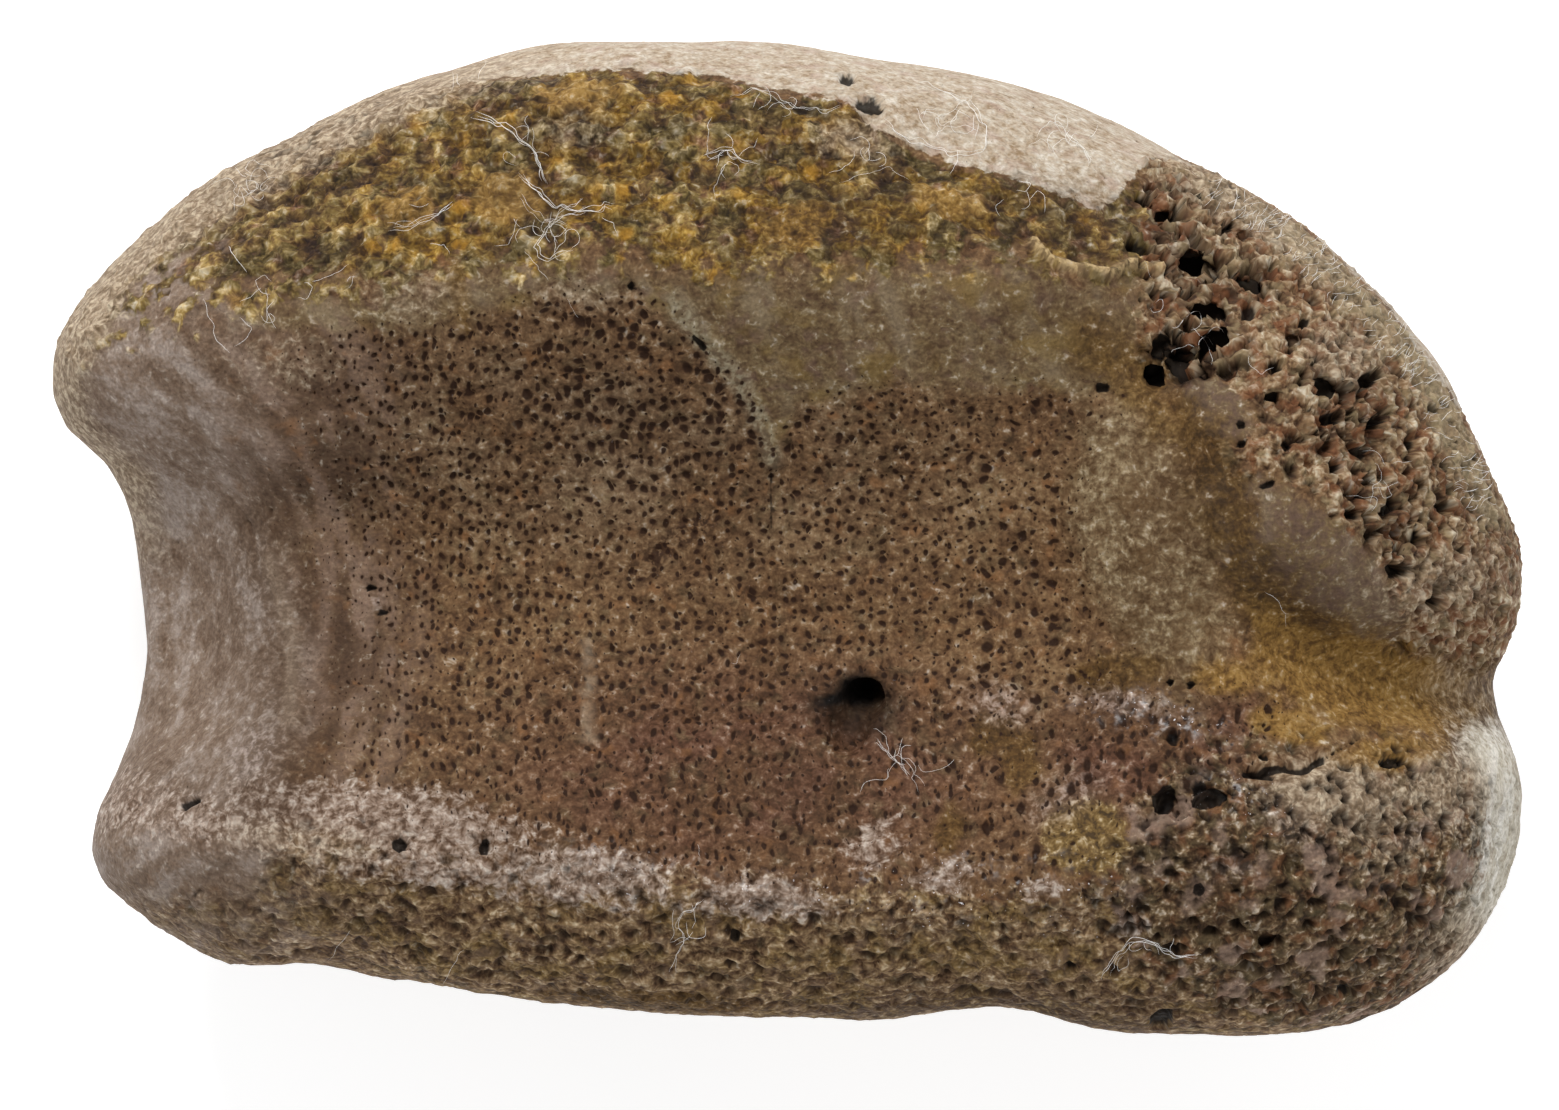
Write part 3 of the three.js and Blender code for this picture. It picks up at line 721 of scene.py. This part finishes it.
def store(mesh, name, values):
    is_vector = values.ndim == 2
    kind = "FLOAT_VECTOR" if is_vector else "FLOAT"
    layer = mesh.attributes.new(name, kind, "POINT")
    layer.data.foreach_set("vector" if is_vector else "value", values.astype(np.float32).ravel())


def add_piece(name, mesh, material):
    piece = bpy.data.objects.new(name, mesh)
    bpy.context.collection.objects.link(piece)
    mesh.materials.clear()
    mesh.materials.append(material)
    return piece


def add_modifier(piece, kind, **settings):
    modifier = piece.modifiers.new(kind.lower(), kind)
    for name, value in settings.items():
        setattr(modifier, name, value)


def apply_modifiers(piece):
    graph = bpy.context.evaluated_depsgraph_get()
    finished = bpy.data.meshes.new_from_object(piece.evaluated_get(graph))
    piece.modifiers.clear()
    piece.data = finished


def add_bone(material):
    """The node's own form with its fine relief."""
    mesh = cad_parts["toe_bone"].data.copy()
    write_points(mesh, read_points(mesh) / MM)
    bone = add_piece("bone_surface", mesh, material)
    add_modifier(bone, "REMESH", mode="VOXEL", voxel_size=SKIN_VOXEL)
    add_modifier(bone, "SMOOTH", factor=0.5, iterations=SKIN_SMOOTHING)
    apply_modifiers(bone)

    points = read_points(bone.data)
    store(bone.data, "rest", points)
    store(bone.data, "grain", pore_grain(points))
    store(bone.data, "flow", streak_flow(points))
    normals = read_points(bone.data, "vertex_normals", "vector")
    for name, values in skin_masks(points, normals).items():
        store(bone.data, name, values)

    add_modifier(bone, "NODES", node_group=relief_tree())
    apply_modifiers(bone)
    triangles = 2 * len(bone.data.polygons)
    add_modifier(bone, "DECIMATE", ratio=SKIN_TRIANGLES / triangles)
    apply_modifiers(bone)

    points = read_points(bone.data)
    points[:, 2] = np.maximum(points[:, 2], 0)
    write_points(bone.data, points * MM)
    bone.data.shade_smooth()
    return bone


# ---- Colours ----
ALBEDO = 0.78  # the bone's own colours are darker than they look in soft light
NOISE_SPAN = (0.36, 0.5, 0.64)  # a noise's low, middle and high values


def tint(code):
    """A colour written as it looks on screen, as the linear value that Blender takes."""
    channels = [int(code[i:i + 2], 16) / 255 for i in (0, 2, 4)]
    linear = [((c + 0.055) / 1.055) ** 2.4 if c > 0.04 else c / 12.92 for c in channels]
    return (*[min(1, c * ALBEDO) for c in linear], 1)


def bone_colour(skin):
    """The bone's colours, painted layer over layer."""
    n = skin.n
    zone = n.zone
    mottle = n.noise(skin.warp, 3.3, detail=2, roughness=0.7)
    fine = n.noise(skin.rest, 9, detail=1, roughness=0.6)
    broad = zone("broad")
    stain = zone("stain")
    streaks = zone("streaks")
    tinge = zone("tinge")
    coarse = skin.grit * 0.5 + mottle * 0.5
    soft = mottle * 0.7 + broad * 0.3
    streaky = mottle * 0.35 + streaks * 0.65
    weathering = mottle * 0.6 + skin.clumps * 0.4
    crumbling = (mottle - 0.5) * 0.9

    def frayed(name):
        return n.step(zone(name) + crumbling, 0.3, 0.7)

    def tones(value, stops):
        return n.ramp(value, [(position, tint(code)) for position, code in stops.items()])

    def three(value, *codes):
        return tones(value, dict(zip(NOISE_SPAN, codes)))

    def painted(colour, *layers):
        """The colour with each layer over it; a layer is its share and its colour."""
        for share, layer in layers:
            colour = n.mix(share, colour, tint(layer) if isinstance(layer, str) else layer)
        return colour

    # the dish: tan bone, with painted shade greying its upper part under the joint's lip, redder
    # below, with streaks and dusk at its left
    tan = tones(soft, {0.36: "4d3521", 0.5: "705337", 0.63: "8f7250"})
    dull = three(soft, "483625", "69523c", "8a745a")
    red = three(soft, "3c2517", "5b3c2a", "7d5b47")
    moss = three(soft, "3b2e1c", "5d4932", "7a6749")
    dusk = tones(n.step(streaks, 0.4, 0.6), {0: "47352a", 0.5: "644e3e", 1: "866f60"})
    dish = painted(
        tan,
        (zone("shade") * n.step(broad, 0.35, 0.6, 0.3, 0.9), dull),
        (zone("red") * n.step(broad, 0.35, 0.6, 0.5, 1), red),
        (n.step(tinge, 0.48, 0.34, 0, 0.6), moss),
        (zone("dusk") * 0.75, dusk),
        (n.step(tinge, 0.56, 0.7, 0, 0.5), "8a5f3a"),
        (zone("fold") * n.step(mottle, 0.55, 0.45, 0.1, 0.8), "2f1c12"),
    )

    # the proximal and under sides: coarse and olive brown, with cream grains and smooth bark
    olive = tones(
        coarse, {0.38: "3f2a18", 0.45: "644a32", 0.52: "846a4b", 0.58: "a48866", 0.65: "cbb593"}
    )
    stained = three(mottle, "4a3a20", "765c30", "9a7f4a")
    faded = three(mottle, "4e3424", "7a5d48", "a58c76")
    olive = painted(
        olive,
        (n.step(stain, 0.48, 0.6, 0, 0.6), stained),
        (n.step(tinge, 0.54, 0.68, 0, 0.5), "7c6450"),
        (n.step(broad, 0.48, 0.64, 0, 0.7) * zone("under"), faded),
    )
    bark = tones(weathering, {0.36: "5c4936", 0.48: "7f6b55", 0.58: "998772", 0.68: "b5a693"})
    bark = painted(bark, (n.step(stain, 0.46, 0.62, 0, 0.6), "6f5638"))

    # the smooth film above the pores
    film = tones(weathering, {0.38: "523d2a", 0.48: "6a553b", 0.56: "7b6749", 0.66: "9c8b70"})
    film = painted(
        film,
        (n.step(streaks, 0.5, 0.64, 0, 0.5), "8d7c63"),
        (n.step(stain, 0.52, 0.64, 0, 0.5), "7d6534"),
        (n.step(tinge, 0.52, 0.64, 0, 0.45), "684f45"),
        (zone("lilac") * n.step(mottle, 0.4, 0.6, 0.55, 0.2), "6d574b"),
    )

    # the wall of the waist, lilac and beige, and the pale mound
    wall = tones(streaky, {0.36: "66503f", 0.48: "857161", 0.6: "a6978c"})
    mound = tones(soft, {0.38: "533d25", 0.5: "735e43", 0.62: "9c8a6a"})
    mound = painted(mound, (n.step(stain, 0.52, 0.62, 0, 0.5), "5d4529"))

    # the broken lobes: crumbling orange-brown tissue, cream on its edges and dark in its holes
    lobe = tones(
        skin.clumps * 0.25 + skin.grit * 0.35 + mottle * 0.4,
        {0.37: "38261a", 0.44: "634832", 0.5: "896c4d", 0.56: "b0987a", 0.64: "dccfb4"},
    )
    lobe = painted(
        lobe,
        # painted shade in the crevices of the deeply broken tissue
        (n.step(skin.clumps, 0.4, 0.6, 0.75, 0.15) * zone("deep"), "3a2a1f"),
        (n.step(tinge, 0.5, 0.6, 0, 0.65), "7a4a2c"),
        (n.step(tinge, 0.46, 0.34, 0, 0.6), "8f7d5c"),
        # dust on the lobe's rim, partly a painted highlight where the rim catches light
        (zone("rim_dust_and_highlight") * 0.6, "a89878"),
    )
    low = tones(
        coarse, {0.38: "291c0f", 0.46: "4b3723", 0.52: "675137", 0.58: "8e775a", 0.65: "cfbca4"}
    )
    low = painted(
        low,
        (n.step(tinge, 0.52, 0.62, 0, 0.65), "7e5436"),
        (n.step(tinge, 0.48, 0.36, 0, 0.6), "5f5239"),
        (n.step(stain, 0.53, 0.62, 0, 0.65), "9a8070"),
    )

    # the worn band: translucent ochre cobbles among dark and cream grains
    grains = tones(
        mottle * 0.4 + skin.clumps * 0.6,
        {
            0.38: "30211a", 0.45: "5a4226", 0.5: "7b6039", 0.55: "997f48", 0.61: "c0a87a",
            0.68: "dccdab",
        },
    )
    mustard = tones(mottle, {0.36: "5a3d14", 0.5: "8a6621", 0.62: "a8853a"})
    greenish = tones(mottle, {0.36: "342a12", 0.5: "5f5029", 0.62: "857450"})
    rusty = tones(mottle, {0.36: "38211a", 0.5: "6b4632", 0.62: "937060"})
    cobble = zone("cobble")
    edge = zone("cobble_edge")
    gilt = n.step(cobble, 0.7, 0.85) * n.step(edge, 0.45, 0.2)
    grains = painted(
        grains,
        (n.step(cobble, 0.45, 0.6, 0, 0.8) * zone("golden"), mustard),
        (n.step(cobble, 0.3, 0.2, 0, 0.7), greenish),
        (n.step(stain, 0.46, 0.36, 0, 0.6), greenish),
        (n.step(tinge, 0.55, 0.68, 0, 0.7), rusty),
        (gilt * 0.7 * zone("golden"), "986d22"),
    )
    # painted shade in the seams between the cobbles, lighter in their middles
    seam = n.step(edge, 0.3, 0.65, 1.15, 0.6)
    seam = n.field("ShaderNodeCombineColor", {0: seam, 1: seam, 2: seam})
    grains = n.mix(1, grains, seam, "MULTIPLY")

    # the smooth joint surface, pinkish tan and pale
    joint = tones(weathering, {0.36: "8c7458", 0.45: "a9967f", 0.54: "bcae9b", 0.66: "d3cabc"})
    joint = painted(joint, (n.step(tinge, 0.5, 0.66, 0, 0.5), "ad9485"))

    # sediment, darkened in the groove as painted shade; the pale crust; the painted highlight on
    # the pale right end; dust with painted sheen and painted light on the rims
    ochre_and_groove_shade = three(soft, "38260f", "5a401c", "7c5e30")
    amber = tones(soft, {0.36: "60431d", 0.48: "8d6a33", 0.56: "a07c42", 0.66: "b5965f"})
    yellow = tones(mottle, {0.36: "473720", 0.5: "72592f", 0.58: "8a7145", 0.68: "b39c72"})
    pale = tones(mottle, {0.36: "5c4636", 0.47: "8a7464", 0.57: "a69384", 0.68: "c4b5a8"})
    crusted = n.step(zone("crust") + (mottle - 0.5) * 1.6, 0.15, 0.85)
    end_highlight = tones(streaky, {0.36: "aaa088", 0.5: "cfc7b6", 0.6: "ece7dd"})
    # the tone of dust, also used for the painted sheen and rim light
    dust = three(mottle, "7b664f", "9d8870", "c4b298")

    # where the broken-open tissue shows its holes, which are painted dark as shade
    spongy = n.most(zone("lobe") * 0.75, zone("low_lobe") * 0.9)
    tissue = zone("proximal") * 0.7 * (1 - skin.cortex)
    spongy = n.most(spongy, n.most(tissue, zone("band") * 0.6))
    spongy = n.most(spongy * (1 - n.most(zone("end_highlight"), zone("wall"))), zone("deep") * 0.98)
    hollow = n.most(n.most(skin.jagged("pits"), skin.jagged("crack")), skin.jagged("sponge_holes"))
    # painted glints: tiny near-white specks all over, thicker where the glints gather
    painted_glints = n.step(fine, 0.72, 0.77) * (0.05 + zone("glints") * 0.8)

    colour = painted(
        dish,
        (frayed("proximal"), olive),
        (skin.cortex * 0.85, bark),
        (n.step(zone("worn"), 0.35, 0.6, 0.25, 0) * zone("under"), "2c2015"),
        (zone("film"), film),
        (zone("rim_film") * n.step(mottle, 0.4, 0.6, 0.2, 0.8), "948a72"),
        (zone("wall") * 0.92, wall),
        # painted highlight along the crease's ridge
        (zone("crease") * 0.6, "a08c78"),
        (zone("mound") * 0.85, mound),
        (frayed("lobe"), lobe),
        (frayed("low_lobe"), low),
        (frayed("band"), grains),
        (zone("ledge") * n.step(mottle, 0.4, 0.56, 0.3, 0.9), "c0a578"),
        (n.step(zone("joint") + crumbling, 0.35, 0.65), joint),
        # ochre sediment, darker along the groove as painted shade
        (zone("ochre_and_groove_shade") * 0.85, ochre_and_groove_shade),
        (zone("amber") * 0.8, amber),
        (frayed("yellow") * 0.85, yellow),
        (crusted * 0.92, pale),
        # pale flecks, some of them painted sheen
        (zone("pale") * n.step(mottle, 0.44, 0.62, 0.05, 0.45), "c4b0a6"),
        # painted highlight on the pale right end
        (n.step(zone("end_highlight") + crumbling * 1.5, 0.1, 1, 0, 0.92), end_highlight),
        # dust and bleaching, with painted sheen and painted light on the rims
        (n.step(zone("dust_and_sheen") + crumbling * 0.8, 0.05, 0.95), dust),
        # darker stretches, with painted shade along the bottom edge and beside the crease
        (zone("darker_and_shaded") * n.step(mottle, 0.6, 0.44, 0.7, 1.2), "3f2b1a"),
        # painted shade: the pores, holes, pits and crack darkened where shade falls in them, with
        # darker rims round them
        (skin.pore_rims * 0.25, "3f2613"),
        (skin.pores * 0.96, "2b1709"),
        (zone("hole_rims") * spongy * 0.4, "3b2719"),
        (zone("holes") * spongy, "1b1008"),
        (hollow * 0.93, "120c08"),
        # painted shade: the foramen's funnel and its opening darkened almost to black
        (zone("slope") * 0.82, "231509"),
        (zone("foramen") * 0.97, "0a0604"),
        (zone("scratch") * 0.5, "a89279"),
        (n.math("MINIMUM", painted_glints, 0.9), "e6e2e4"),
    )
    grain = n.ramp(
        fine, [(0.28, (0.8, 0.79, 0.78, 1)), (0.5, (1, 1, 1, 1)), (0.74, (1.15, 1.15, 1.15, 1))]
    )
    return n.mix(1, colour, grain, "MULTIPLY")


def micro_relief(skin):
    """Relief finer than the mesh, in millimetres."""
    n = skin.n
    zone = n.zone
    rough = n.most(n.most(zone("band"), zone("lobe")), n.most(zone("low_lobe"), zone("proximal")))
    depth = (1 - zone("joint")) * 0.05 + rough * 0.07
    return n.noise(skin.rest, 7, detail=0) * depth


def bone_material():
    material = bpy.data.materials.new("fossil_bone")
    material.use_nodes = True
    material.node_tree.nodes.clear()
    n = Nodes(material.node_tree)
    skin = Skin(n)
    wet = n.zone("glints") * n.step(skin.grit, 0.45, 0.6)
    bump = {"Height": micro_relief(skin), "Distance": MM, "Strength": 0.8}
    look = {
        "Base Color": bone_colour(skin),
        "Roughness": 0.75,
        "Normal": n.field("ShaderNodeBump", bump),
        "Specular IOR Level": 0.14,
        "Coat Weight": wet * 0.6,
        "Coat Roughness": 0.25,
    }
    n.add("ShaderNodeOutputMaterial", {"Surface": n.field("ShaderNodeBsdfPrincipled", look)})
    return material


# ---- Lint ----
def curve_through(knots):
    """Evenly spaced points on a smooth curve that the knots guide."""
    knots = np.asarray(knots, float)
    ends = np.vstack([2 * knots[0] - knots[1], knots, 2 * knots[-1] - knots[-2]])
    path = []
    for a, b, c, d in zip(ends, ends[1:], ends[2:], ends[3:]):
        count = max(2, round(math.dist(b, c) / FIBRE_STEP))
        for t in np.arange(count) / count:
            start = (1 - t) ** 3 * a
            end = t ** 3 * d
            middle = (3 * t ** 3 - 6 * t ** 2 + 4) * b + (1 + 3 * t + 3 * t ** 2 - 3 * t ** 3) * c
            path.append((start + middle + end) / 6)
    return np.array([*path, knots[-1]])


def smoothed(values, passes):
    for _ in range(passes):
        padded = np.concatenate([values[:1], values, values[-1:]])
        values = (padded[:-2] + 2 * padded[1:-1] + padded[2:]) / 4
    return values


def laid_on(bone, path, radius, lift):
    """The path dropped onto the bone as the camera sees it, resting on the grains it meets."""
    eye = Vector((*VIEW_CENTRE, RIM + VIEW_HEIGHT)) * MM
    landed = []
    for x, y in path:
        towards = Vector((x, y, RIM)) * MM - eye
        hit, place, *_ = bone.ray_cast(eye, towards.normalized())
        if hit:
            landed.append(place / MM)
    if len(landed) < SHORTEST_FIBRE:
        return None
    landed = np.array(landed)
    heights = landed[:, 2]
    padded = np.concatenate([heights[:2], heights, heights[-2:]])
    tops = np.max([padded[i:i + len(heights)] for i in range(5)], axis=0)
    arch = lift * np.sin(np.linspace(0, math.pi, len(heights)))
    landed[:, 2] = smoothed(tops, 4) + radius + arch
    return landed


def tube(path, radius):
    """Corners and faces of a thin tube that tapers at both ends."""
    run = np.gradient(path, axis=0)
    run /= np.linalg.norm(run, axis=1)[:, None]
    across = np.cross(run, (0, 0, 1))
    across /= np.linalg.norm(across, axis=1)[:, None]
    upward = np.cross(across, run)
    share = np.linspace(0, 1, len(path))
    width = radius * np.clip(12 * np.minimum(share, 1 - share), 0.3, 1)[:, None]
    corners = []
    for k in range(FIBRE_SIDES):
        angle = 2 * math.pi * k / FIBRE_SIDES
        corners.append(path + width * (math.cos(angle) * across + math.sin(angle) * upward))
    corners = np.stack(corners, axis=1).reshape(-1, 3)
    faces = [tuple(range(FIBRE_SIDES))[::-1]]
    for start in range(0, len(corners) - FIBRE_SIDES, FIBRE_SIDES):
        for k in range(FIBRE_SIDES):
            a = start + k
            b = start + (k + 1) % FIBRE_SIDES
            faces.append((a, b, b + FIBRE_SIDES, a + FIBRE_SIDES))
    faces.append(tuple(range(len(corners) - FIBRE_SIDES, len(corners))))
    return corners, faces


def frizzed(path, wander, draw):
    """The path with a random wander of its own."""
    reach, passes = wander
    shake = np.array([[draw.gauss(0, 1), draw.gauss(0, 1)] for _ in path])
    shake = smoothed(shake, passes)
    return path + reach * shake / (shake.std() + 1e-6)


def rim_hairs(draw):
    """Short bent hairs that lie across the rim of the broken lobe."""
    line = np.array(HAIR_LINE)
    for _ in range(HAIRS):
        i = draw.randrange(len(line) - 1)
        start, end = line[i], line[i + 1]
        run = (end - start) / math.dist(start, end)
        out = np.array((-run[1], run[0]))
        middle = start + (end - start) * draw.random() + out * draw.uniform(-0.7, 0.5)
        turn = draw.uniform(-0.6, 0.9)
        half = (out * math.cos(turn) + run * math.sin(turn)) * draw.uniform(0.1, 0.3)
        yield [middle - half, middle + run * draw.uniform(-0.15, 0.15), middle + half]


def curls(draw):
    """Fine loose curls in the tufts."""
    for x, y, spread, count in TUFTS:
        for _ in range(count):
            place = np.array([x, y]) + [draw.gauss(0, 0.5) * spread, draw.gauss(0, 0.35) * spread]
            heading = draw.uniform(0, 2 * math.pi)
            bend = draw.uniform(-0.9, 0.9)
            knots = [place]
            for _ in range(draw.randint(3, 7)):
                step = draw.uniform(0.14, 0.26)
                place = place + [step * math.cos(heading), step * math.sin(heading)]
                knots.append(place)
                heading += bend + draw.gauss(0, 0.4)
            yield knots


def lint_strands(draw):
    """Every strand's path, radius and lift over the bone."""
    for plies, radius, knots in FIBRES:
        kinked = frizzed(curve_through(knots), FIBRE_KINKS, draw)
        for _ in range(plies):
            path = frizzed(kinked, PLY_WANDER, draw)
            yield path, radius * draw.uniform(0.28, 0.48), draw.uniform(0.02, 0.15)
    for knots in curls(draw):
        path = frizzed(curve_through(knots), CURL_KINKS, draw)
        yield path, HAIR_RADIUS, draw.uniform(0, 0.12)
    for knots in rim_hairs(draw):
        yield curve_through(knots), HAIR_RADIUS, draw.uniform(0, 0.1)


def add_lint(bone, material):
    """All fibres, curls and hairs as one mesh."""
    corners = []
    faces = []
    for path, radius, lift in lint_strands(random.Random(SEED)):
        laid = laid_on(bone, path, radius, lift)
        if laid is None:
            continue
        ring_corners, ring_faces = tube(laid, radius)
        faces += [tuple(len(corners) + i for i in face) for face in ring_faces]
        corners += [tuple(corner) for corner in ring_corners * MM]
    mesh = bpy.data.meshes.new("lint_fibres")
    mesh.from_pydata(corners, [], faces)
    mesh.shade_smooth()
    return add_piece("lint_fibres", mesh, material)


def lint_material():
    material = bpy.data.materials.new("lint")
    material.use_nodes = True
    n = Nodes(material.node_tree)
    mottle = n.noise(n.field("ShaderNodeTexCoord", output="Object"), 900)
    colour = n.ramp(mottle, [(0.35, (0.6, 0.58, 0.54, 1)), (0.6, (0.9, 0.88, 0.86, 1))])
    shader = material.node_tree.nodes["Principled BSDF"]
    for name, value in (("Base Color", colour), ("Roughness", 0.6), ("Specular IOR Level", 0.3)):
        n.put(shader.inputs[name], value)
    return material


# ---- Stage ----
def floor_material():
    """Pale and faintly glowing, so that it looks white round the bone."""
    material = bpy.data.materials.new("pale_floor")
    material.use_nodes = True
    shader = material.node_tree.nodes["Principled BSDF"]
    for name in ("Base Color", "Emission Color"):
        shader.inputs[name].default_value = FLOOR_GREY
    shader.inputs["Roughness"].default_value = 0.9
    shader.inputs["Emission Strength"].default_value = FLOOR_GLOW
    return material


def add_floor():
    half = FLOOR_WIDTH / 2 * MM
    mesh = bpy.data.meshes.new("floor")
    corners = [(-half, -half, 0), (half, -half, 0), (half, half, 0), (-half, half, 0)]
    mesh.from_pydata(corners, [], [(0, 1, 2, 3)])
    floor = add_piece("floor", mesh, floor_material())


def add_softbox(name, place, size, power):
    """A square white light, place and size in millimetres, that faces the bone."""
    light = bpy.data.lights.new(name, "AREA")
    light.size = size * MM
    light.energy = power
    box = bpy.data.objects.new(name, light)
    bpy.context.collection.objects.link(box)
    box.location = Vector(place) * MM
    box.rotation_euler = box.location.to_track_quat("Z", "Y").to_euler()


def add_world(horizon, zenith):
    """White surroundings, brighter round the bone than over it."""
    world = bpy.data.worlds.new("studio")
    world.use_nodes = True
    n = Nodes(world.node_tree)
    direction = n.field("ShaderNodeTexCoord", output="Generated")
    height = n.field("ShaderNodeSeparateXYZ", {0: direction}, "Z")
    background = world.node_tree.nodes["Background"]
    n.put(background.inputs["Color"], (0.96, 0.98, 1, 1))
    n.put(background.inputs["Strength"], n.step(height, 0, 0.8, horizon, zenith))
    bpy.context.scene.world = world


def add_lights():
    add_softbox("key", (-60, 260, 260), 160, 1.3)
    add_softbox("fill", (180, -240, 300), 240, 0.45)
    add_world(horizon=1, zenith=0.35)


def add_camera():
    camera = bpy.data.cameras.new("camera")
    camera.sensor_width = SENSOR_WIDTH
    camera.lens = SENSOR_WIDTH * VIEW_HEIGHT / VIEW_WIDTH
    camera.clip_start = 10 * MM
    camera.clip_end = 10
    holder = bpy.data.objects.new("camera", camera)
    bpy.context.collection.objects.link(holder)
    holder.location = Vector((*VIEW_CENTRE, RIM + VIEW_HEIGHT)) * MM
    bpy.context.scene.camera = holder
    bpy.context.scene.view_settings.view_transform = "Standard"


# ---- The scene ----
add_camera()
add_floor()
add_lights()
bone = add_bone(bone_material())
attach(bone, "root")
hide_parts("toe_bone")
lint = add_lint(bone, lint_material())
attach(lint, "root")
